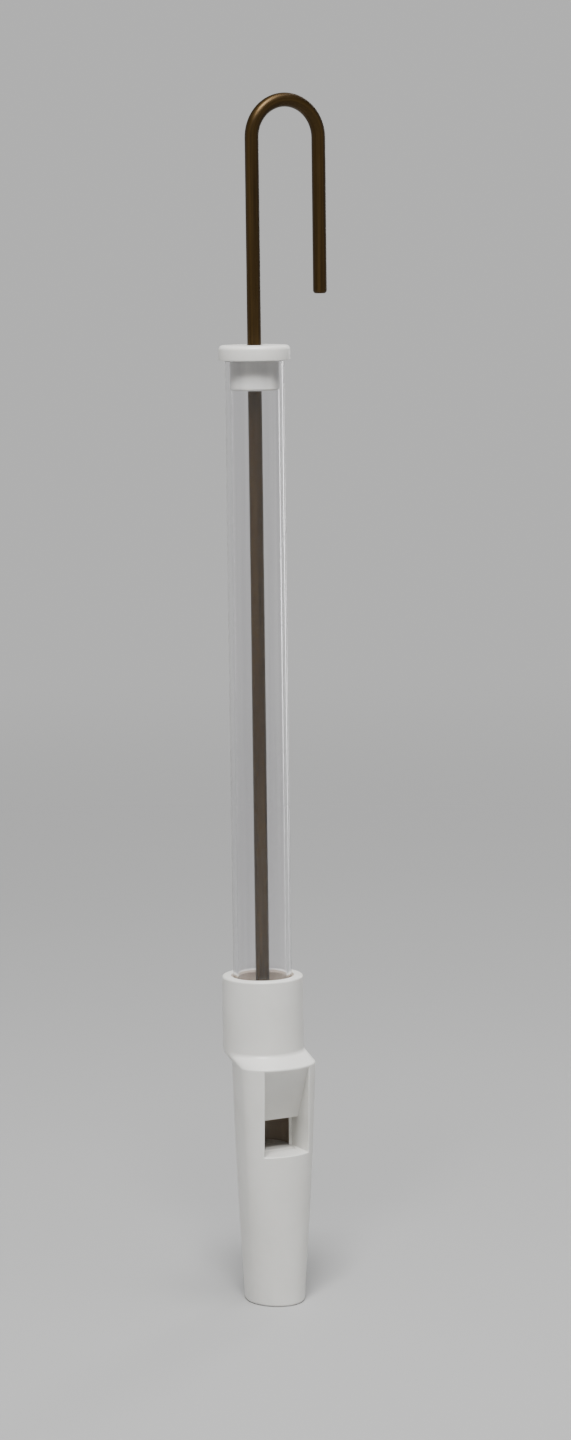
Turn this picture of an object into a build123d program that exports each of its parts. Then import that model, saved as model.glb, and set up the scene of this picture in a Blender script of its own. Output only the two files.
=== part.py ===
# Slide whistle: a white moulded mouthpiece, a clear tube, and a wire plunger that slides and turns in it.
# Millimetres. The tube's axis is Z, the mouth end is cut flat at Z = 0 and the window faces -Y.
import os
from math import sqrt

from build123d import *

# Tube
tube_r = 6.0
tube_wall = 1.0
tube_length = 140.4

# Mouthpiece heights, from the mouth end up
windway_length = 31.4
window_height = 6.5
ramp_rise = 11.2
ramp_land = 0.5
shoulder_rise = 2.0
socket_depth = 15.4

# Mouthpiece walls round the bore: egg-shaped sections whose widest line leads the tube's axis
socket_wall = 2.25
shoulder_front_wall = 6.6
shoulder_side_wall = 3.3
shoulder_back_wall = 0.9
shoulder_lead = 6.0
sill_front_wall = 6.1
sill_side_wall = 2.5
sill_back_wall = 1.1
sill_lead = 6.0
mouth_roof = 5.0
mouth_wall = 1.1
mouth_lead = 3.7
lip_round = 0.5
rim_round = 0.4
rim_lead_in = 0.4

# Voicing: the window, its ramp and the windway that feeds it
window_width = 10.0
window_reach = 2.5
ramp_inset = 0.3
labium_thickness = 0.2
windway_height = 1.1
windway_drop = 0.4
block_r = 4.8
block_lead = 2.6
block_exit_chamfer = 0.3

# End cap
cap_plug_length = 6.0
cap_flange_thickness = 3.0
cap_flange_overhang = 1.2
cap_round = 0.9
cap_countersink = 0.5
guide_clearance = 0.08

# Wire plunger
rod_r = 1.4
handle_spacing = 15.0
handle_gap = 10.0
free_leg_length = 31.0
wire_end_round = 0.6
pinch_width = 3.8
pinch_thickness = 1.6
pinch_height = 2.4

# Piston
piston_rest_gap = 0.6
rod_tip_length = 0.6
rod_tip_round = 0.3
nut_r = 3.4
nut_thickness = 0.4
nut_dome = 0.5
nut_slot_count = 4
nut_slot_width = 0.6
nut_slot_reach = 2.4
washer_thickness = 0.8
washer_clearance = 0.3
washer_round = 0.2
seal_thickness = 5.0
seal_clearance = 0.05
seal_round = 0.4

# Radii, heights and places that follow
bore_r = tube_r - tube_wall
socket_r = tube_r + socket_wall
labium_z = windway_length + window_height
ramp_top_z = labium_z + ramp_rise
shoulder_z = ramp_top_z + ramp_land
tube_seat_z = shoulder_z + shoulder_rise
tube_top_z = tube_seat_z + tube_length
cap_top_z = tube_top_z + cap_flange_thickness
windway_floor_y = windway_drop - bore_r
windway_roof_y = windway_floor_y - windway_height
windway_half_width = sqrt(block_r**2 - (block_lead + windway_floor_y)**2)
labium_y = -bore_r - labium_thickness
shoulder_front_y = -bore_r - shoulder_front_wall
shoulder_back_y = bore_r + shoulder_back_wall
shoulder_half_width = bore_r + shoulder_side_wall
rod_tip_z = tube_seat_z + piston_rest_gap
nut_z = rod_tip_z + rod_tip_length
front_washer_z = nut_z + nut_dome + nut_thickness
seal_z = front_washer_z + washer_thickness
rear_washer_z = seal_z + seal_thickness
pinch_z = rear_washer_z + washer_thickness
free_end_z = cap_top_z + handle_gap
bend_z = free_end_z + free_leg_length

# The ramp starts at the top in line with the shoulder's outline at the window's two sides
shoulder_front_depth = -shoulder_lead - shoulder_front_y
ramp_side_share = sqrt(1 - (window_width / 2 / shoulder_half_width)**2)
ramp_top_y = -shoulder_lead - shoulder_front_depth * ramp_side_share + ramp_inset


def egg_section(height, front_y, widest_y, back_y, half_width):
    """Section of the mouthpiece body: two half ovals that meet where it is widest."""
    with BuildSketch(Plane((0, 0, height), x_dir=(0, 1, 0), z_dir=(0, 0, 1))) as section:
        with BuildLine():
            EllipticalCenterArc((widest_y, 0), back_y - widest_y, half_width, -90, arc_size=180)
            EllipticalCenterArc((widest_y, 0), widest_y - front_y, half_width, 90, arc_size=180)
        make_face()
    return section.sketch


def piston_washer(bottom_z):
    """Washer on the wire, clear of the tube's wall."""
    with BuildPart() as disc:
        with BuildSketch(Plane.XY.offset(bottom_z)):
            Circle(bore_r - washer_clearance)
            Circle(rod_r, mode=Mode.SUBTRACT)
        extrude(amount=washer_thickness)
        fillet(disc.edges().filter_by(GeomType.CIRCLE).group_by(SortBy.RADIUS)[-1], washer_round)
    return disc.part


mouth_section = egg_section(
    0, windway_roof_y - mouth_roof, -mouth_lead, block_r - block_lead + mouth_wall, block_r + mouth_wall
)
sill_section = egg_section(
    windway_length, -bore_r - sill_front_wall, -sill_lead, bore_r + sill_back_wall, bore_r + sill_side_wall
)
shoulder_section = egg_section(
    shoulder_z, shoulder_front_y, -shoulder_lead, shoulder_back_y, shoulder_half_width
)
socket_section = egg_section(tube_seat_z, -socket_r, 0, socket_r, socket_r)

# Mouthpiece: tapered body, sloping shoulder and tube socket, cut by the bore, the windway and the window
with BuildPart() as mouthpiece_shell:
    loft(sections=[mouth_section, sill_section, shoulder_section])
    fillet(mouthpiece_shell.faces().sort_by(Axis.Z)[0].edges(), lip_round)
    loft(sections=[shoulder_section, socket_section], ruled=True)
    extrude(socket_section, amount=socket_depth)
    fillet(mouthpiece_shell.edges().group_by(Axis.Z)[-1], rim_round)
    with BuildSketch(Plane.XY.offset(windway_length)):
        Circle(bore_r)
    extrude(amount=tube_seat_z - windway_length, mode=Mode.SUBTRACT)
    with BuildSketch(Plane.XY.offset(tube_seat_z)):
        Circle(tube_r)
    extrude(amount=socket_depth, mode=Mode.SUBTRACT)
    chamfer(mouthpiece_shell.faces().sort_by(Axis.Z)[-1].inner_wires()[0].edges(), rim_lead_in)
    with BuildSketch():
        with Locations((0, -block_lead)):
            Circle(block_r)
        with Locations((0, windway_floor_y)):
            Rectangle(2 * block_r, 2 * block_r, align=(Align.CENTER, Align.MAX), mode=Mode.SUBTRACT)
            Rectangle(2 * windway_half_width, windway_height, align=(Align.CENTER, Align.MAX))
    extrude(amount=windway_length, mode=Mode.SUBTRACT)
    with BuildSketch(Plane.YZ):
        with BuildLine():
            Polyline(
                (-window_reach, windway_length),
                (shoulder_front_y, windway_length),
                (shoulder_front_y, ramp_top_z),
                (ramp_top_y, ramp_top_z),
                (labium_y, labium_z),
                (-window_reach, labium_z),
                close=True,
            )
        make_face()
    extrude(amount=window_width / 2, both=True, mode=Mode.SUBTRACT)

# Fipple block: a round plug with a flat, the floor of the windway
with BuildPart() as fipple_block:
    with BuildSketch():
        with Locations((0, -block_lead)):
            Circle(block_r)
        with Locations((0, windway_floor_y)):
            Rectangle(2 * block_r, 2 * block_r, align=(Align.CENTER, Align.MAX), mode=Mode.SUBTRACT)
    extrude(amount=windway_length)
    chamfer(fipple_block.faces().sort_by(Axis.Y)[0].edges().sort_by(Axis.Z)[-1], block_exit_chamfer)

# Clear tube, seated on the bottom of the socket
with BuildPart() as barrel_tube:
    with BuildSketch(Plane.XY.offset(tube_seat_z)):
        Circle(tube_r)
        Circle(bore_r, mode=Mode.SUBTRACT)
    extrude(amount=tube_length)

# End cap: a plug in the tube with a flange on its end, bored for the wire
with BuildPart() as end_cap:
    with BuildSketch(Plane.XY.offset(tube_top_z)):
        Circle(tube_r + cap_flange_overhang)
    extrude(amount=cap_flange_thickness)
    fillet(end_cap.edges().group_by(Axis.Z)[-1], cap_round)
    with BuildSketch(Plane.XY.offset(tube_top_z)):
        Circle(bore_r)
    extrude(amount=-cap_plug_length)
    with Locations((0, 0, cap_top_z)):
        CounterSinkHole(rod_r + guide_clearance, rod_r + guide_clearance + cap_countersink)

# Wire: a straight rod bent round into a hanging handle, pinched above the piston to make a shoulder
with BuildPart() as slide_rod:
    with BuildLine():
        Line((0, 0, rod_tip_z), (0, 0, bend_z))
        ThreePointArc(
            (0, 0, bend_z),
            (handle_spacing / 2, 0, bend_z + handle_spacing / 2),
            (handle_spacing, 0, bend_z),
        )
        Line((handle_spacing, 0, bend_z), (handle_spacing, 0, free_end_z))
    with BuildSketch(Plane.XY.offset(rod_tip_z)):
        Circle(rod_r)
    sweep()
    wire_ends = slide_rod.faces().filter_by(GeomType.PLANE).sort_by(Axis.Z)
    fillet(wire_ends[0].edges(), rod_tip_round)
    wire_ends = slide_rod.faces().filter_by(GeomType.PLANE).sort_by(Axis.Z)
    fillet(wire_ends[-1].edges(), wire_end_round)
    with Locations((0, 0, pinch_z)):
        Box(pinch_width, pinch_thickness, pinch_height, align=(Align.CENTER, Align.CENTER, Align.MIN))

# Piston seal: a felt ring between the washers
with BuildPart() as piston_seal:
    with BuildSketch(Plane.XY.offset(seal_z)):
        Circle(bore_r - seal_clearance)
        Circle(rod_r + seal_clearance, mode=Mode.SUBTRACT)
    extrude(amount=seal_thickness)
    fillet(piston_seal.edges().filter_by(GeomType.CIRCLE).group_by(SortBy.RADIUS)[-1], seal_round)

# Push nut: a domed spring washer with slots, pressed on the end of the wire
with BuildPart() as push_nut:
    with BuildSketch(Plane.XZ):
        with BuildLine():
            Polyline(
                (rod_r, nut_z),
                (nut_slot_reach, nut_z + nut_dome),
                (nut_r, nut_z + nut_dome),
                (nut_r, nut_z + nut_dome + nut_thickness),
                (nut_slot_reach, nut_z + nut_dome + nut_thickness),
                (rod_r, nut_z + nut_thickness),
                close=True,
            )
        make_face()
    revolve(axis=Axis.Z)
    with BuildSketch(Plane.XY.offset(nut_z)):
        with PolarLocations(nut_slot_reach / 2, nut_slot_count):
            Rectangle(nut_slot_reach, nut_slot_width)
    extrude(amount=nut_dome + nut_thickness, mode=Mode.SUBTRACT)

pieces = {
    "mouthpiece_shell": mouthpiece_shell.part,
    "fipple_block": fipple_block.part,
    "barrel_tube": barrel_tube.part,
    "end_cap": end_cap.part,
    "slide_rod": slide_rod.part,
    "piston_rear_washer": piston_washer(rear_washer_z),
    "piston_seal": piston_seal.part,
    "piston_front_washer": piston_washer(front_washer_z),
    "push_nut": push_nut.part,
}
os.makedirs("parts", exist_ok=True)
for name, piece in pieces.items():
    piece.label = name
    export_step(piece, f"parts/{name}.step")
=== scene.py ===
# Slide whistle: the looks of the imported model. Metres. The tube's axis is Z, the window faces -Y and the
# whistle stands on its mouth end.
from math import asin, atan2, cos, hypot, pi, radians, sin

import bmesh
import bpy
from mathutils import Matrix, Vector, noise


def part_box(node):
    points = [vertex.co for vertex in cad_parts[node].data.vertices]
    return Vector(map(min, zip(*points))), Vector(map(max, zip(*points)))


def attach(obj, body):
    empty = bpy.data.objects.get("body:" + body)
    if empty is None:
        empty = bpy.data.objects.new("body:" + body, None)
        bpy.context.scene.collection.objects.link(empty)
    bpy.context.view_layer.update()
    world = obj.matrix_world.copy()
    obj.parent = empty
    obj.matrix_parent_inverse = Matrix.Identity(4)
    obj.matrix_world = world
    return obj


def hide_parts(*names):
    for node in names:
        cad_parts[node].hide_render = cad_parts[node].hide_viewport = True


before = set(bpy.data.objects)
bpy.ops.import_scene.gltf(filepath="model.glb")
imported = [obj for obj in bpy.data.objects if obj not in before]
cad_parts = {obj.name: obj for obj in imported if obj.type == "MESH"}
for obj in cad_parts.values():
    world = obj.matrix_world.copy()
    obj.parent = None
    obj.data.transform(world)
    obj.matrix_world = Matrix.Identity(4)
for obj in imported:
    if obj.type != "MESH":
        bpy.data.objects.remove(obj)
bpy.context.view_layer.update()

# Mouthpiece: one hollow moulding of white polystyrene. A tapered beak swells to a sloping shoulder and
# carries a round socket for the tube. A slide in the mould leaves the window and its ramp, with softened
# edges.
mm = 0.001
shell_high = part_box("mouthpiece_shell")[1]
block_low, block_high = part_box("fipple_block")
tube_low, tube_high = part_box("barrel_tube")
tube_r = tube_high.x
bore_r = tube_r - 1.0 * mm
socket_r = shell_high.y
fit_gap = 0.03 * mm
socket_wall_r = tube_r + fit_gap
sill_z = block_high.z
labium_z = sill_z + 6.5 * mm
ramp_top_z = labium_z + 11.2 * mm
shoulder_z = ramp_top_z + 0.5 * mm
seat_z = tube_low.z
rim_z = shell_high.z
window_half = 5.0 * mm
window_reach_y = -2.5 * mm
labium_y = -bore_r - 0.2 * mm
ramp_inset = 0.3 * mm
lip_round = 0.5 * mm
rim_round = 0.4 * mm
rim_lead_in = 0.4 * mm
edge_round = 0.2 * mm
socket_foot_round = 0.5 * mm
windway_height = 1.1 * mm
front_steps = 24
rear_steps = 84
beak_steps = 6
ramp_steps = 5
crisp_angle = radians(35)

# Cutters run past the faces they open by an overlap, or by the run-out at the mouth. Points closer than the
# weld are one point, and heights closer than the level are one height.
overlap = 0.03 * mm
run_out = 1 * mm
weld = 0.001 * mm
cut_weld = 0.002 * mm
level = 0.01 * mm

# The body is egg-shaped across: its front, its widest line, its back and its half width at the mouth, at
# the window's sill and at the shoulder
body_stations = (0.0, sill_z, shoulder_z)
body_front = (-10.7 * mm, -11.1 * mm, -11.6 * mm)
body_widest = (-3.7 * mm, -6.0 * mm, -6.0 * mm)
body_back = (3.3 * mm, 6.1 * mm, 5.9 * mm)
body_half = (5.9 * mm, 7.5 * mm, 8.3 * mm)


def along_body(values, z):
    """Value at a height, on the smooth curve through the mouth, the sill and the shoulder."""
    mouth, sill, shoulder = body_stations
    rise = (values[1] - values[0]) / (sill - mouth)
    bend = ((values[2] - values[1]) / (shoulder - sill) - rise) / (shoulder - mouth)
    return values[0] + (z - mouth) * (rise + bend * (z - sill))


def skin_ring(bm, z, front, widest, back, half, capped=False):
    """Ring of the mouthpiece's skin, with two of its points in line with the window's sides."""
    segments = front_steps + rear_steps
    ring = bmesh.ops.create_circle(bm, cap_ends=capped, radius=half, segments=segments)["verts"]
    window_z = min(max(z, sill_z), ramp_top_z)
    side = asin(window_half / along_body(body_half, window_z))
    for step, vert in enumerate(ring):
        if step < front_steps:
            turn = side * (2 * step / front_steps - 1)
        else:
            turn = side + (2 * pi - 2 * side) * (step - front_steps) / rear_steps
        depth = widest - front if cos(turn) > 0 else back - widest
        vert.co = (half * sin(turn), widest - depth * cos(turn), z)
    return list({edge for vert in ring for edge in vert.link_edges})


def press_in(bm, low_z, high_z, depth_at):
    """Presses the front faces between two heights back to y = depth_at(z) and leaves walls round them."""
    patch = []
    for face in bm.faces:
        middle = face.calc_center_median()
        if abs(middle.x) < window_half and middle.y < 0 and low_z < middle.z < high_z:
            patch.append(face)
    pressed = bmesh.ops.extrude_face_region(bm, geom=patch)["geom"]
    for item in pressed:
        if isinstance(item, bmesh.types.BMVert):
            item.co.y = depth_at(item.co.z)
    bmesh.ops.delete(bm, geom=patch, context="FACES")


def ring_at(bm, height):
    """Edges that lie level at a height."""
    return [edge for edge in bm.edges if all(abs(vert.co.z - height) < level for vert in edge.verts)]


def round_off(bm, edges, size, segments, clamped=True):
    """Rounds edges off to a size."""
    bmesh.ops.bevel(
        bm, geom=edges, offset=size, affect="EDGES", segments=segments, profile=0.5, material=-1,
        clamp_overlap=clamped,
    )


def spun(profile, steps=128):
    """Solid of revolution about Z from a closed profile of (radius, height) points."""
    bm = bmesh.new()
    points = [bm.verts.new((radius, 0, height)) for radius, height in profile]
    edges = [bm.edges.new((points[i - 1], points[i])) for i in range(len(points))]
    bmesh.ops.spin(
        bm, geom=points + edges, cent=(0, 0, 0), axis=(0, 0, 1), angle=2 * pi, steps=steps, use_merge=True
    )
    bmesh.ops.remove_doubles(bm, verts=bm.verts, dist=weld)
    bmesh.ops.recalc_face_normals(bm, faces=bm.faces)
    return bm


def piece_from(bm, name, sharp_angle=crisp_angle):
    """Object with smooth faces and crisp edges where the surface turns by more than the angle."""
    mesh = bpy.data.meshes.new(name)
    bm.to_mesh(mesh)
    bm.free()
    mesh.shade_smooth()
    mesh.set_sharp_from_angle(angle=sharp_angle)
    piece = bpy.data.objects.new(name, mesh)
    bpy.context.scene.collection.objects.link(piece)
    return piece


def cut_away(piece, cutter):
    """Takes a closed cutter out of a piece and merges the points that the cut doubles."""
    tool = piece_from(cutter, "cutter")
    cut = piece.modifiers.new("cut", "BOOLEAN")
    cut.solver = "EXACT"
    cut.object = tool
    left = bpy.data.meshes.new_from_object(piece.evaluated_get(bpy.context.evaluated_depsgraph_get()))
    piece.modifiers.clear()
    piece.data = left
    bpy.data.objects.remove(tool)
    merged = bmesh.new()
    merged.from_mesh(left)
    bmesh.ops.remove_doubles(merged, verts=merged.verts, dist=cut_weld)
    bmesh.ops.dissolve_degenerate(merged, edges=merged.edges, dist=cut_weld)
    merged.to_mesh(left)
    merged.free()


skin = bmesh.new()
body_heights = [sill_z * step / beak_steps for step in range(beak_steps)]
body_heights += [sill_z, (sill_z + labium_z) / 2]
body_heights += [labium_z + (ramp_top_z - labium_z) * step / ramp_steps for step in range(ramp_steps + 1)]
body_heights += [shoulder_z]
rings = []
for z in body_heights:
    egg = [along_body(values, z) for values in (body_front, body_widest, body_back, body_half)]
    rings.append(skin_ring(skin, z, *egg, capped=(z == 0)))
rings.append(skin_ring(skin, seat_z, -socket_r, 0, socket_r, socket_r))
rings.append(skin_ring(skin, rim_z, -socket_r, 0, socket_r, socket_r, capped=True))
for lower, upper in zip(rings, rings[1:]):
    bmesh.ops.bridge_loops(skin, edges=lower + upper)
bmesh.ops.recalc_face_normals(skin, faces=skin.faces)

# The ramp starts at the top in line with the shoulder's outline at the window's two sides
shoulder_front_depth = body_widest[2] - body_front[2]
ramp_top_y = body_widest[2] - shoulder_front_depth * cos(asin(window_half / body_half[2])) + ramp_inset


def ramp_y(z):
    """Face of the ramp, from the labium up to the shoulder."""
    return labium_y + (ramp_top_y - labium_y) * (z - labium_z) / (ramp_top_z - labium_z)


press_in(skin, labium_z, ramp_top_z, ramp_y)
press_in(skin, sill_z, labium_z, lambda z: window_reach_y)

# The shoulder's edge is softened, and so are the window's crisp outer edges, in front of the body's flanks
flank_y = -9 * mm
crisp_turn = 0.4
soft_edges = []
for edge in skin.edges:
    heights = [vert.co.z for vert in edge.verts]
    on_shoulder = max(abs(z - shoulder_z) for z in heights) < level
    at_window = max(vert.co.y for vert in edge.verts) < flank_y and min(heights) > sill_z - level
    if on_shoulder or (at_window and edge.is_convex and edge.calc_face_angle() > crisp_turn):
        soft_edges.append(edge)
round_off(skin, soft_edges, edge_round, 3)
for height, size in ((0, lip_round), (seat_z, socket_foot_round), (rim_z, rim_round)):
    round_off(skin, ring_at(skin, height), size, 4)
bmesh.ops.recalc_face_normals(skin, faces=skin.faces)
mouthpiece = piece_from(skin, "mouthpiece")

# One stepped core pin forms the bore and the wider socket, with a lead-in at the rim
core_profile = (
    (0, sill_z + overlap),
    (bore_r, sill_z + overlap),
    (bore_r, seat_z),
    (socket_wall_r, seat_z),
    (socket_wall_r, rim_z - rim_lead_in),
    (socket_wall_r + 2 * rim_lead_in, rim_z + rim_lead_in),
    (0, rim_z + rim_lead_in),
)
cut_away(mouthpiece, spun(core_profile))

# The hole for the block is round with a flat side, and the windway runs along that flat
block_r = block_high.x
block_lead_y = block_high.y - block_r
block_sides = 96
windway_floor_y = block_low.y


def slice_off(bm, point, outward):
    """Cuts a solid with a plane, drops what lies beyond it and closes the cut."""
    everything = bm.verts[:] + bm.edges[:] + bm.faces[:]
    cut = bmesh.ops.bisect_plane(bm, geom=everything, plane_co=point, plane_no=outward, clear_outer=True)
    rim = [item for item in cut["geom_cut"] if isinstance(item, bmesh.types.BMEdge)]
    bmesh.ops.contextual_create(bm, geom=rim)
    bmesh.ops.recalc_face_normals(bm, faces=bm.faces)


def block_solid(radius, low_z, high_z):
    """Round bar with the windway's flat along it."""
    bm = bmesh.new()
    bmesh.ops.create_cone(
        bm, cap_ends=True, segments=block_sides, radius1=radius, radius2=radius, depth=high_z - low_z
    )
    bmesh.ops.translate(bm, verts=bm.verts, vec=(0, block_lead_y, (high_z + low_z) / 2))
    slice_off(bm, (0, windway_floor_y, 0), (0, -1, 0))
    return bm


cut_away(mouthpiece, block_solid(block_r, -run_out, sill_z + 2 * overlap))
windway_half = (block_r**2 - (windway_floor_y - block_lead_y)**2)**0.5
windway = bmesh.new()
bmesh.ops.create_cube(windway, size=1)
windway_depth = windway_height + overlap
windway_length = sill_z + run_out
bmesh.ops.scale(windway, vec=(2 * windway_half, windway_depth, windway_length), verts=windway.verts)
windway_middle = (0, windway_floor_y + overlap - windway_depth / 2, (sill_z - run_out) / 2 + overlap)
bmesh.ops.translate(windway, verts=windway.verts, vec=windway_middle)
cut_away(mouthpiece, windway)
mouthpiece.data.shade_smooth()
mouthpiece.data.set_sharp_from_angle(angle=crisp_angle)
even_faces = mouthpiece.modifiers.new("even_faces", "WEIGHTED_NORMAL")
even_faces.keep_sharp = True

# Painted shade: the walls of the bore and the socket that face the axis get a darker, brownish colour,
# standing in for the shade deep inside them
shade_reach = 0.05 * mm
turned_in = -0.5
painted_bore_shade = mouthpiece.data.attributes.new("painted_bore_shade", "FLOAT", "FACE")
for face in mouthpiece.data.polygons:
    x, y, z = face.center
    from_axis = hypot(x, y)
    faces_axis = face.normal.x * x + face.normal.y * y < turned_in * from_axis
    core_r = bore_r if z < seat_z else socket_wall_r + rim_lead_in
    painted_bore_shade.data[face.index].value = faces_axis and z > sill_z and from_axis < core_r + shade_reach


def place(tree, kind, inputs=(), **settings):
    """Adds a shader node. Inputs take a plain value or another node's output."""
    made = tree.nodes.new(kind)
    for name, value in settings.items():
        setattr(made, name, value)
    for socket, value in dict(inputs).items():
        if isinstance(value, bpy.types.NodeSocket):
            tree.links.new(value, made.inputs[socket])
        else:
            made.inputs[socket].default_value = value
    return made


def two_tone(tree, mask, low, high, low_at=0.0, high_at=1.0):
    """Colour ramp from one colour to another, between two values of a mask."""
    made = place(tree, "ShaderNodeValToRGB", {"Fac": mask})
    first, last = made.color_ramp.elements
    first.position = low_at
    first.color = (*low, 1)
    last.position = high_at
    last.color = (*high, 1)
    return made.outputs["Color"]


def new_group(name, inputs, outputs):
    """Node group with float inputs and outputs, and the nodes at its two ends."""
    tree = bpy.data.node_groups.new(name, "ShaderNodeTree")
    for socket, value in inputs.items():
        made = tree.interface.new_socket(socket, in_out="INPUT", socket_type="NodeSocketFloat")
        made.default_value = value
    for socket in outputs:
        tree.interface.new_socket(socket, in_out="OUTPUT", socket_type="NodeSocketFloat")
    return tree, place(tree, "NodeGroupInput"), place(tree, "NodeGroupOutput")


def new_material(name):
    """Material with only a Principled shader on its surface."""
    material = bpy.data.materials.new(name)
    material.use_nodes = True
    tree = material.node_tree
    tree.nodes.clear()
    shader = place(tree, "ShaderNodeBsdfPrincipled")
    place(tree, "ShaderNodeOutputMaterial", {"Surface": shader.outputs[0]})
    return material, tree, shader


# Smudges: soft patches where handling has dulled a surface
smudges, group_in, group_out = new_group("smudges", {"Scale": 100.0}, ["Smudge"])
coords = place(smudges, "ShaderNodeTexCoord")
clouds = place(
    smudges,
    "ShaderNodeTexNoise",
    {
        "Vector": coords.outputs["Object"],
        "Scale": group_in.outputs["Scale"],
        "Detail": 4.0,
        "Roughness": 0.6,
    },
)
patches = place(
    smudges, "ShaderNodeMapRange", {"Value": clouds.outputs["Fac"], "From Min": 0.35, "From Max": 0.68}
)
smudges.links.new(patches.outputs["Result"], group_out.inputs["Smudge"])

# Hairlines: fine broken scratches in two directions
hairlines, group_in, group_out = new_group("hairlines", {"Density": 260.0}, ["Scratch"])
coords = place(hairlines, "ShaderNodeTexCoord")
lines = []
for turn in ((0.5, 0.2, 0.4), (-0.35, 0.5, -0.6)):
    turned = place(
        hairlines,
        "ShaderNodeMapping",
        {"Vector": coords.outputs["Object"], "Rotation": turn, "Scale": (1.0, 1.0, 0.12)},
    )
    cells = place(
        hairlines,
        "ShaderNodeTexVoronoi",
        {"Vector": turned.outputs[0], "Scale": group_in.outputs["Density"]},
        feature="DISTANCE_TO_EDGE",
    )
    line = place(
        hairlines,
        "ShaderNodeMapRange",
        {"Value": cells.outputs["Distance"], "From Max": 0.02, "To Min": 1.0, "To Max": 0.0},
    )
    lines.append(line.outputs[0])
both = place(hairlines, "ShaderNodeMath", {0: lines[0], 1: lines[1]}, operation="MAXIMUM")
gaps = place(
    hairlines, "ShaderNodeTexNoise", {"Vector": coords.outputs["Object"], "Scale": 240.0, "Detail": 2.0}
)
unbroken = place(
    hairlines, "ShaderNodeMapRange", {"Value": gaps.outputs["Fac"], "From Min": 0.52, "From Max": 0.62}
)
broken = place(
    hairlines, "ShaderNodeMath", {0: both.outputs[0], 1: unbroken.outputs[0]}, operation="MULTIPLY"
)
hairlines.links.new(broken.outputs[0], group_out.inputs["Scratch"])

# White plastic: satin and faintly warm, clouded a little by the flow in the mould, with a fine skin
white_plastic, tree, shader = new_material("white_plastic")
coords = place(tree, "ShaderNodeTexCoord")
flow = place(
    tree,
    "ShaderNodeTexNoise",
    {
        "Vector": coords.outputs["Object"],
        "Scale": 70.0,
        "Detail": 5.0,
        "Roughness": 0.55,
        "Distortion": 0.6,
    },
)
tone = two_tone(tree, flow.outputs["Fac"], (0.72, 0.71, 0.67), (0.80, 0.79, 0.755), 0.3, 0.7)
# Painted shade in the bore and the socket: the plastic's colour is multiplied by a dark brown there
bore_shade_mask = place(tree, "ShaderNodeAttribute", attribute_name="painted_bore_shade")
bore_shade_tone = two_tone(tree, bore_shade_mask.outputs["Fac"], (1, 1, 1), (0.48, 0.40, 0.33))
tone_with_bore_shade = place(tree, "ShaderNodeVectorMath", {0: tone, 1: bore_shade_tone}, operation="MULTIPLY")
smudge = place(tree, "ShaderNodeGroup", {"Scale": 160.0}, node_tree=smudges)
scratch = place(tree, "ShaderNodeGroup", {"Density": 300.0}, node_tree=hairlines)
dulled = place(
    tree, "ShaderNodeMapRange", {"Value": smudge.outputs["Smudge"], "To Min": 0.29, "To Max": 0.42}
)
scuffed = place(
    tree,
    "ShaderNodeMath",
    {0: scratch.outputs["Scratch"], 1: 0.12, 2: dulled.outputs[0]},
    operation="MULTIPLY_ADD",
)
skin_grain = place(
    tree, "ShaderNodeTexNoise", {"Vector": coords.outputs["Object"], "Scale": 2600.0, "Detail": 3.0}
)
grain_bump = place(
    tree, "ShaderNodeBump", {"Height": skin_grain.outputs["Fac"], "Strength": 0.12, "Distance": 0.05 * mm}
)
scratch_bump = place(
    tree,
    "ShaderNodeBump",
    {
        "Height": scratch.outputs["Scratch"],
        "Strength": 0.15,
        "Distance": 0.02 * mm,
        "Normal": grain_bump.outputs[0],
    },
    invert=True,
)
tree.links.new(tone_with_bore_shade.outputs[0], shader.inputs["Base Color"])
tree.links.new(scuffed.outputs[0], shader.inputs["Roughness"])
tree.links.new(scratch_bump.outputs[0], shader.inputs["Normal"])
shader.inputs["IOR"].default_value = 1.55
shader.inputs["Subsurface Weight"].default_value = 0.12
shader.inputs["Subsurface Radius"].default_value = (1.0, 0.92, 0.8)
shader.inputs["Subsurface Scale"].default_value = 0.8 * mm

mouthpiece.data.materials.clear()
mouthpiece.data.materials.append(white_plastic)
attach(mouthpiece, "barrel")
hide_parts("mouthpiece_shell")

# Fipple block: a short white bar with a flat along it, pushed into the beak. The flat is the windway's
# floor, and its far edge is chamfered where the air leaves for the labium.
block_gap = 0.02 * mm
block_end_round = 0.15 * mm
exit_chamfer = 0.3 * mm
block_bm = block_solid(block_r - block_gap, 0, sill_z)
slice_off(block_bm, (0, windway_floor_y, sill_z - exit_chamfer), (0, -1, 1))
end_edges = ring_at(block_bm, 0) + ring_at(block_bm, sill_z)
round_off(block_bm, end_edges, block_end_round, 3, clamped=False)
block = piece_from(block_bm, "windway_block")
block.data.materials.append(white_plastic)
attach(block, "barrel")
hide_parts("fipple_block")

# Tube: clear extruded butyrate, sawn square, with eased ends, pushed to the bottom of the socket. The die
# leaves faint lines along it, and its sides look deeper, where the wall is seen edge on.
saw_ease = 0.12 * mm
tube_seat_z = tube_low.z + fit_gap
tube_end_z = tube_high.z - fit_gap
tube_profile = (
    (bore_r, tube_seat_z + saw_ease),
    (bore_r + saw_ease, tube_seat_z),
    (tube_r - saw_ease, tube_seat_z),
    (tube_r, tube_seat_z + saw_ease),
    (tube_r, tube_end_z - saw_ease),
    (tube_r - saw_ease, tube_end_z),
    (bore_r + saw_ease, tube_end_z),
    (bore_r, tube_end_z - saw_ease),
)
tube = piece_from(spun(tube_profile, steps=160), "clear_tube")

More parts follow.
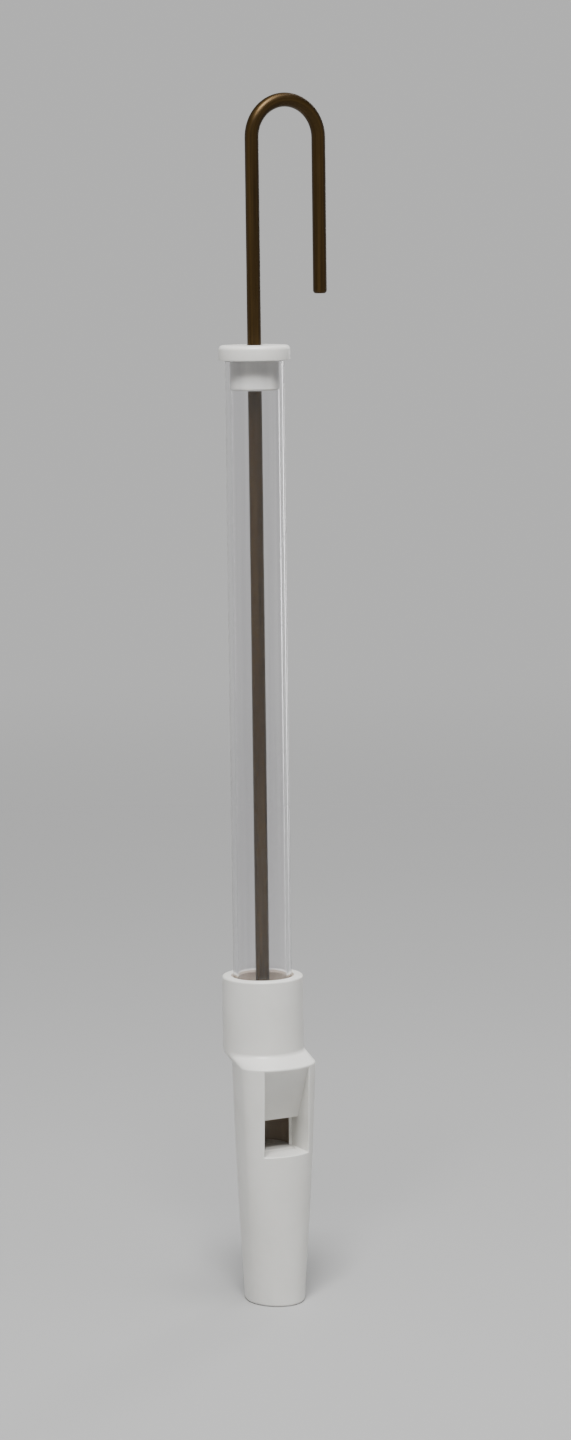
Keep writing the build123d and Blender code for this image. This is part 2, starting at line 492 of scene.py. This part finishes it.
# Streaks: lines drawn along a piece, from a place given as across, across and along
streaks, group_in, group_out = new_group("streaks", {"Fineness": 2000.0}, ["Streak"])
streaks.interface.new_socket("Place", in_out="INPUT", socket_type="NodeSocketVector")
stretched = place(
    streaks, "ShaderNodeMapping", {"Vector": group_in.outputs["Place"], "Scale": (1.0, 1.0, 0.012)}
)
drawn = place(
    streaks,
    "ShaderNodeTexNoise",
    {
        "Vector": stretched.outputs[0],
        "Scale": group_in.outputs["Fineness"],
        "Detail": 3.0,
        "Roughness": 0.65,
    },
)
streaks.links.new(drawn.outputs["Fac"], group_out.inputs["Streak"])

clear_plastic, tree, shader = new_material("clear_plastic")
coords = place(tree, "ShaderNodeTexCoord")
die_lines = place(
    tree, "ShaderNodeGroup", {"Fineness": 520.0, "Place": coords.outputs["Object"]}, node_tree=streaks
)
die_bump = place(
    tree, "ShaderNodeBump", {"Height": die_lines.outputs["Streak"], "Strength": 0.12, "Distance": 0.08 * mm}
)
smudge = place(tree, "ShaderNodeGroup", {"Scale": 130.0}, node_tree=smudges)
scratch = place(tree, "ShaderNodeGroup", {"Density": 220.0}, node_tree=hairlines)
dulled = place(
    tree, "ShaderNodeMapRange", {"Value": smudge.outputs["Smudge"], "To Min": 0.015, "To Max": 0.06}
)
scuffed = place(
    tree,
    "ShaderNodeMath",
    {0: scratch.outputs["Scratch"], 1: 0.1, 2: dulled.outputs[0]},
    operation="MULTIPLY_ADD",
)
tint = two_tone(tree, die_lines.outputs["Streak"], (0.85, 0.845, 0.86), (0.985, 0.98, 0.985), 0.32, 0.68)
slant = place(tree, "ShaderNodeLayerWeight", {"Blend": 0.5})
long_way = place(
    tree,
    "ShaderNodeMapRange",
    {"Value": slant.outputs["Facing"], "From Min": 0.55, "From Max": 1.0, "To Min": 1.0, "To Max": 0.7},
)
deepened = place(tree, "ShaderNodeVectorMath", {0: tint, "Scale": long_way.outputs[0]}, operation="SCALE")
tree.links.new(deepened.outputs[0], shader.inputs["Base Color"])
tree.links.new(scuffed.outputs[0], shader.inputs["Roughness"])
tree.links.new(die_bump.outputs[0], shader.inputs["Normal"])
shader.inputs["Transmission Weight"].default_value = 1.0
shader.inputs["IOR"].default_value = 1.48
shader.inputs["Specular IOR Level"].default_value = 0.25
ray = place(tree, "ShaderNodeLightPath")
clear_shadow = place(tree, "ShaderNodeBsdfTransparent", {"Color": (0.93, 0.935, 0.945, 1)})
see_through = place(
    tree,
    "ShaderNodeMixShader",
    {0: ray.outputs["Is Shadow Ray"], 1: shader.outputs[0], 2: clear_shadow.outputs[0]},
)
tree.links.new(see_through.outputs[0], tree.nodes["Material Output"].inputs["Surface"])

tube.data.materials.append(clear_plastic)
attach(tube, "barrel")
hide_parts("barrel_tube")

# End cap: a white moulded plug in the tube's top with a rounded flange that stops it, bored and countersunk
# to guide the wire.
cap_low, cap_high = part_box("end_cap")
cap_flange_z = tube_high.z
cap_r = cap_high.x
cap_round = 0.9 * mm
cap_under_round = 0.2 * mm
plug_r = bore_r - fit_gap
plug_lead_in = 0.4 * mm
guide_r = 1.48 * mm
countersink = 0.5 * mm
round_steps = 6


def rounded(centre_r, centre_z, radius, from_turn, to_turn):
    """Points of a profile round a corner, between two turns from the outward direction."""
    turns = [from_turn + (to_turn - from_turn) * step / round_steps for step in range(round_steps + 1)]
    return [(centre_r + radius * cos(turn), centre_z + radius * sin(turn)) for turn in turns]


cap_profile = [
    (guide_r, cap_low.z),
    (plug_r - plug_lead_in, cap_low.z),
    (plug_r, cap_low.z + plug_lead_in),
    (plug_r, cap_flange_z),
]
cap_profile += rounded(cap_r - cap_under_round, cap_flange_z + cap_under_round, cap_under_round, -pi / 2, 0)
cap_profile += rounded(cap_r - cap_round, cap_high.z - cap_round, cap_round, 0, pi / 2)
cap_profile += [(guide_r + countersink, cap_high.z), (guide_r, cap_high.z - countersink)]
cap = piece_from(spun(cap_profile), "tube_end_cap")
cap.data.materials.append(white_plastic)
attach(cap, "barrel")
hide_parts("end_cap")

# Plunger wire: one length of dark drawn steel wire, bent over at the top into a hanging handle and pinched
# flat above the piston, where the two ears stop the rear washer.
wire_low, wire_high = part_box("slide_rod")
wire_r = 1.4 * mm
leg_spacing = wire_high.x - wire_r
bend_r = leg_spacing / 2
bend_z = wire_high.z - wire_r - bend_r
free_end_z = bend_z - 31.0 * mm
tip_round = 0.3 * mm
free_end_round = 0.6 * mm
pinch_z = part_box("piston_rear_washer")[1].z
pinch_rise = 2.4 * mm
ear_reach = 1.9 * mm
ear_thin = 0.8 * mm
wire_sides = 48
bend_steps = 48
square_turn = 1.0

# The pinch is swaged: a short step takes the round wire nearly to the ears' size, and a longer one eases it
step_rise = 0.2 * mm
ease_rise = 0.35 * mm
ease_wide = 0.97
ease_thick = 1.25


def extend(bm, face, shift, stretch=(1, 1, 1)):
    """Carries the wire on from its end face by a shift, and sizes the new end across."""
    inside = any(len(edge.link_faces) > 1 for edge in face.edges)
    moved = bmesh.ops.extrude_face_region(bm, geom=[face])["geom"]
    if inside:
        bmesh.ops.delete(bm, geom=[face], context="FACES_ONLY")
    verts = [item for item in moved if isinstance(item, bmesh.types.BMVert)]
    centre = sum((vert.co for vert in verts), Vector()) / len(verts)
    bmesh.ops.scale(bm, vec=stretch, verts=verts, space=Matrix.Translation(-centre))
    bmesh.ops.translate(bm, vec=shift, verts=verts)
    return next(item for item in moved if isinstance(item, bmesh.types.BMFace))


wire = bmesh.new()
bmesh.ops.create_circle(wire, cap_ends=True, radius=wire_r, segments=wire_sides)
bmesh.ops.translate(wire, verts=wire.verts, vec=(0, 0, wire_low.z))
end = wire.faces[:][0]
end = extend(wire, end, (0, 0, pinch_z - wire_low.z))
step_wide = ease_wide * ear_reach / wire_r
step_thick = ease_thick * ear_thin / wire_r
end = extend(wire, end, (0, 0, step_rise), (step_wide, step_thick, 1))
end = extend(wire, end, (0, 0, ease_rise), (1 / ease_wide, 1 / ease_thick, 1))
end = extend(wire, end, (0, 0, pinch_rise - 2 * (step_rise + ease_rise)))
end = extend(wire, end, (0, 0, ease_rise), (ease_wide, ease_thick, 1))
end = extend(wire, end, (0, 0, step_rise), (1 / step_wide, 1 / step_thick, 1))
end = extend(wire, end, (0, 0, bend_z - pinch_z - pinch_rise))
end_ring = end.verts[:] + end.edges[:]
wire.faces.remove(end)
swung = bmesh.ops.spin(
    wire, geom=end_ring, cent=(bend_r, 0, bend_z), axis=(0, 1, 0), angle=pi, steps=bend_steps,
    use_merge=False,
)
last_ring = [item for item in swung["geom_last"] if isinstance(item, bmesh.types.BMEdge)]
end = bmesh.ops.contextual_create(wire, geom=last_ring)["faces"][0]
extend(wire, end, (0, 0, free_end_z - bend_z))
bmesh.ops.remove_doubles(wire, verts=wire.verts, dist=weld)
bmesh.ops.recalc_face_normals(wire, faces=wire.faces)
for height, size in ((wire_low.z, tip_round), (free_end_z, free_end_round)):
    ring = [edge for edge in ring_at(wire, height) if edge.calc_face_angle() > square_turn]
    round_off(wire, ring, size, 5)

# Each point keeps its place across and along the wire, which the drawn streaks follow round the bend
place_layer = wire.verts.layers.float_vector.new("wire_place")
for vert in wire.verts:
    x, y, z = vert.co
    if z > bend_z:
        turn = atan2(z - bend_z, bend_r - x)
        across = bend_r - hypot(bend_r - x, z - bend_z)
        reach = bend_z + turn * bend_r
    elif x > bend_r:
        across = leg_spacing - x
        reach = bend_z + pi * bend_r + bend_z - z
    else:
        across = x
        reach = z
    vert[place_layer] = (across, y, reach)
plunger_wire = piece_from(wire, "plunger_wire")

dark_wire, tree, shader = new_material("dark_wire")
where = place(tree, "ShaderNodeAttribute", attribute_name="wire_place")
coarse = place(
    tree, "ShaderNodeGroup", {"Fineness": 1400.0, "Place": where.outputs["Vector"]}, node_tree=streaks
)
fine = place(
    tree, "ShaderNodeGroup", {"Fineness": 5200.0, "Place": where.outputs["Vector"]}, node_tree=streaks
)
smudge = place(tree, "ShaderNodeGroup", {"Scale": 180.0}, node_tree=smudges)
brown = two_tone(tree, coarse.outputs["Streak"], (0.025, 0.013, 0.0022), (0.073, 0.0405, 0.009), 0.3, 0.72)
dulled = place(
    tree, "ShaderNodeMapRange", {"Value": smudge.outputs["Smudge"], "To Min": 0.3, "To Max": 0.44}
)
rubbed = place(
    tree,
    "ShaderNodeMath",
    {0: fine.outputs["Streak"], 1: 0.1, 2: dulled.outputs[0]},
    operation="MULTIPLY_ADD",
)
drawn_bump = place(
    tree, "ShaderNodeBump", {"Height": fine.outputs["Streak"], "Strength": 0.25, "Distance": 0.03 * mm}
)
tree.links.new(brown, shader.inputs["Base Color"])
tree.links.new(rubbed.outputs[0], shader.inputs["Roughness"])
tree.links.new(drawn_bump.outputs[0], shader.inputs["Normal"])
shader.inputs["Metallic"].default_value = 0.75

plunger_wire.data.materials.append(dark_wire)
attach(plunger_wire, "plunger")
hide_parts("slide_rod")

# Piston washers: two stamped steel discs, pressed on the wire either side of the felt. The punch rolls one
# edge over and leaves the other nearly square.
washer_hole_r = wire_r + 0.03 * mm
rolled_edge = 0.25 * mm
punched_edge = 0.08 * mm

plain_steel, tree, shader = new_material("plain_steel")
coords = place(tree, "ShaderNodeTexCoord")
smudge = place(tree, "ShaderNodeGroup", {"Scale": 420.0}, node_tree=smudges)
scratch = place(tree, "ShaderNodeGroup", {"Density": 700.0}, node_tree=hairlines)
plated = two_tone(tree, smudge.outputs["Smudge"], (0.50, 0.50, 0.49), (0.63, 0.625, 0.60))
dulled = place(
    tree, "ShaderNodeMapRange", {"Value": smudge.outputs["Smudge"], "To Min": 0.24, "To Max": 0.4}
)
scuffed = place(
    tree,
    "ShaderNodeMath",
    {0: scratch.outputs["Scratch"], 1: 0.18, 2: dulled.outputs[0]},
    operation="MULTIPLY_ADD",
)
rolled_grain = place(
    tree, "ShaderNodeTexNoise", {"Vector": coords.outputs["Object"], "Scale": 4200.0, "Detail": 3.0}
)
steel_bump = place(
    tree, "ShaderNodeBump", {"Height": rolled_grain.outputs["Fac"], "Strength": 0.15, "Distance": 0.03 * mm}
)
tree.links.new(plated, shader.inputs["Base Color"])
tree.links.new(scuffed.outputs[0], shader.inputs["Roughness"])
tree.links.new(steel_bump.outputs[0], shader.inputs["Normal"])
shader.inputs["Metallic"].default_value = 1.0

for node, name in (("piston_rear_washer", "rear_washer"), ("piston_front_washer", "front_washer")):
    low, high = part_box(node)
    washer_r = high.x
    washer_profile = [(washer_hole_r, high.z - punched_edge), (washer_hole_r, low.z + punched_edge)]
    washer_profile += [(washer_hole_r + punched_edge, low.z), (washer_r - punched_edge, low.z)]
    washer_profile += [(washer_r, low.z + punched_edge)]
    washer_profile += rounded(washer_r - rolled_edge, high.z - rolled_edge, rolled_edge, 0, pi / 2)
    washer_profile += [(washer_hole_r + punched_edge, high.z)]
    washer = piece_from(spun(washer_profile, steps=96), name)
    washer.data.materials.append(plain_steel)
    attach(washer, "plunger")
    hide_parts(node)

# Piston seal: a thick ring cut from pressed wool felt, squeezed between the washers so that its side bulges
# against the tube, with a matted, slightly hairy surface.
seal_low, seal_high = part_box("piston_seal")
seal_r = seal_high.x - 0.02 * mm
seal_hole_r = wire_r + 0.1 * mm
seal_face_gap = 0.02 * mm
seal_bulge = 0.18 * mm
seal_corner = 0.45 * mm
felt_lumps = 0.07 * mm
felt_lump_scale = 2200.0
small_lump_scale = 2.3 * felt_lump_scale
small_lump_share = 0.5
felt_crisp_angle = radians(80)
side_steps = 28
face_steps = 12
seal_bottom_z = seal_low.z + seal_face_gap
seal_top_z = seal_high.z - seal_face_gap
side_low_z = seal_bottom_z + seal_corner
side_high_z = seal_top_z - seal_corner
corner_r = seal_r - seal_bulge - seal_corner
face_r = [seal_hole_r + (corner_r - seal_hole_r) * step / face_steps for step in range(1, face_steps)]
felt_profile = [(seal_hole_r, seal_top_z), (seal_hole_r, seal_bottom_z)]
felt_profile += [(radius, seal_bottom_z) for radius in face_r]
felt_profile += rounded(corner_r, side_low_z, seal_corner, -pi / 2, 0)
for step in range(1, side_steps):
    share = step / side_steps
    side_r = seal_r - seal_bulge * (2 * share - 1) ** 2
    felt_profile.append((side_r, side_low_z + (side_high_z - side_low_z) * share))
felt_profile += rounded(corner_r, side_high_z, seal_corner, 0, pi / 2)
felt_profile += [(radius, seal_top_z) for radius in reversed(face_r)]
felt_bm = spun(felt_profile, steps=220)
felt_bm.normal_update()
for vert in felt_bm.verts:
    lump = noise.noise(vert.co * felt_lump_scale)
    lump += small_lump_share * noise.noise(vert.co * small_lump_scale)
    sunk = felt_lumps * min(max(0.5 + 0.5 * lump, 0.0), 1.0)
    vert.co -= vert.normal * sunk
felt_ring = piece_from(felt_bm, "felt_ring", sharp_angle=felt_crisp_angle)

felt, tree, shader = new_material("felt")
coords = place(tree, "ShaderNodeTexCoord")
matted = place(
    tree,
    "ShaderNodeTexNoise",
    {
        "Vector": coords.outputs["Object"],
        "Scale": 900.0,
        "Detail": 6.0,
        "Roughness": 0.7,
        "Distortion": 1.2,
    },
)
wool = two_tone(tree, matted.outputs["Fac"], (0.42, 0.39, 0.33), (0.66, 0.63, 0.56), 0.3, 0.7)
hairs = place(
    tree,
    "ShaderNodeTexNoise",
    {
        "Vector": coords.outputs["Object"],
        "Scale": 5200.0,
        "Detail": 4.0,
        "Roughness": 0.7,
        "Distortion": 3.0,
    },
)
hair_bump = place(
    tree, "ShaderNodeBump", {"Height": hairs.outputs["Fac"], "Strength": 0.8, "Distance": 0.08 * mm}
)
rough_felt = place(
    tree, "ShaderNodeMapRange", {"Value": hairs.outputs["Fac"], "To Min": 0.82, "To Max": 1.0}
)
tree.links.new(wool, shader.inputs["Base Color"])
tree.links.new(rough_felt.outputs[0], shader.inputs["Roughness"])
tree.links.new(hair_bump.outputs[0], shader.inputs["Normal"])
shader.inputs["Sheen Weight"].default_value = 0.35
shader.inputs["Sheen Roughness"].default_value = 0.6

felt_ring.data.materials.append(felt)
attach(felt_ring, "seal")
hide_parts("piston_seal")

# Push nut: a domed spring-steel washer with four slots, pressed on the wire's tip, where its teeth bite and
# hold the piston together. Its shape is the model's own.
push_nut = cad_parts["push_nut"]
for slot in push_nut.material_slots:
    slot.material = plain_steel

# Floor: a plain pale sweep that fades into the backdrop all round
floor_r = 3.0
fade_from = 0.12
fade_to = 1.1
floor_bm = bmesh.new()
bmesh.ops.create_circle(floor_bm, cap_ends=True, radius=floor_r, segments=96)
floor = piece_from(floor_bm, "floor")
pale_floor, tree, shader = new_material("pale_floor")
coords = place(tree, "ShaderNodeTexCoord")
paper = place(tree, "ShaderNodeTexNoise", {"Vector": coords.outputs["Object"], "Scale": 6.0, "Detail": 4.0})
pale = two_tone(tree, paper.outputs["Fac"], (0.40, 0.40, 0.397), (0.43, 0.43, 0.427))
away = place(tree, "ShaderNodeVectorMath", {0: coords.outputs["Object"]}, operation="LENGTH")
fade = place(
    tree,
    "ShaderNodeMapRange",
    {"Value": away.outputs["Value"], "From Min": fade_from, "From Max": fade_to},
    interpolation_type="SMOOTHSTEP",
)
nothing = place(tree, "ShaderNodeBsdfTransparent")
faded = place(
    tree, "ShaderNodeMixShader", {0: fade.outputs[0], 1: shader.outputs[0], 2: nothing.outputs[0]}
)
tree.links.new(faded.outputs[0], tree.nodes["Material Output"].inputs["Surface"])
tree.links.new(pale, shader.inputs["Base Color"])
shader.inputs["Roughness"].default_value = 0.7
floor.data.materials.append(pale_floor)

# Light: a pale surround that darkens upwards, a soft box high in front on the left, a tall strip behind on
# the right and a small soft box overhead
light_target = Vector((0, 0, 0.12))
backdrop = bpy.data.worlds.new("backdrop")
bpy.context.scene.world = backdrop
backdrop.use_nodes = True
tree = backdrop.node_tree
tree.nodes.clear()
coords = place(tree, "ShaderNodeTexCoord")
split = place(tree, "ShaderNodeSeparateXYZ", {0: coords.outputs["Generated"]})
climb = place(
    tree, "ShaderNodeMapRange", {"Value": split.outputs["Z"], "From Min": 0.06, "From Max": 0.45}
)
surround = two_tone(tree, climb.outputs[0], (0.57, 0.57, 0.567), (0.12, 0.122, 0.127))
glow = place(tree, "ShaderNodeBackground", {"Color": surround, "Strength": 1.0})
place(tree, "ShaderNodeOutputWorld", {"Surface": glow.outputs[0]})


def soft_box(name, place_at, width, height, watts):
    """Area light aimed at the middle of the whistle."""
    light = bpy.data.lights.new(name, "AREA")
    light.shape = "RECTANGLE"
    light.size = width
    light.size_y = height
    light.energy = watts
    lamp = bpy.data.objects.new(name, light)
    lamp.location = place_at
    aim = light_target - Vector(place_at)
    lamp.rotation_euler = aim.to_track_quat("-Z", "Y").to_euler()
    bpy.context.scene.collection.objects.link(lamp)


soft_box("key_light", (-0.3, -0.5, 1.25), 0.4, 0.4, 27.0)
soft_box("edge_light", (0.75, 0.55, 0.5), 0.12, 1.6, 2.2)
soft_box("top_light", (0.1, -0.2, 1.25), 0.4, 0.4, 6.0)

# Camera: the photograph's viewpoint, 27 degrees to the left of the window and looking slightly down
view_turn = radians(-27)
camera_reach = 0.7706
camera_height = 0.22
camera_roll = radians(-0.7)
lens_length = 96.0
aim_point = Vector((0.006, 0, 0.119))
lens = bpy.data.cameras.new("camera")
lens.lens = lens_length
lens.sensor_width = 36.0
lens.clip_start = 0.01
camera = bpy.data.objects.new("camera", lens)
camera.location = (camera_reach * sin(view_turn), -camera_reach * cos(view_turn), camera_height)
facing = (aim_point - camera.location).to_track_quat("-Z", "Y").to_matrix()
camera.rotation_euler = (facing @ Matrix.Rotation(camera_roll, 3, "Z")).to_euler()
bpy.context.scene.collection.objects.link(camera)
bpy.context.scene.camera = camera
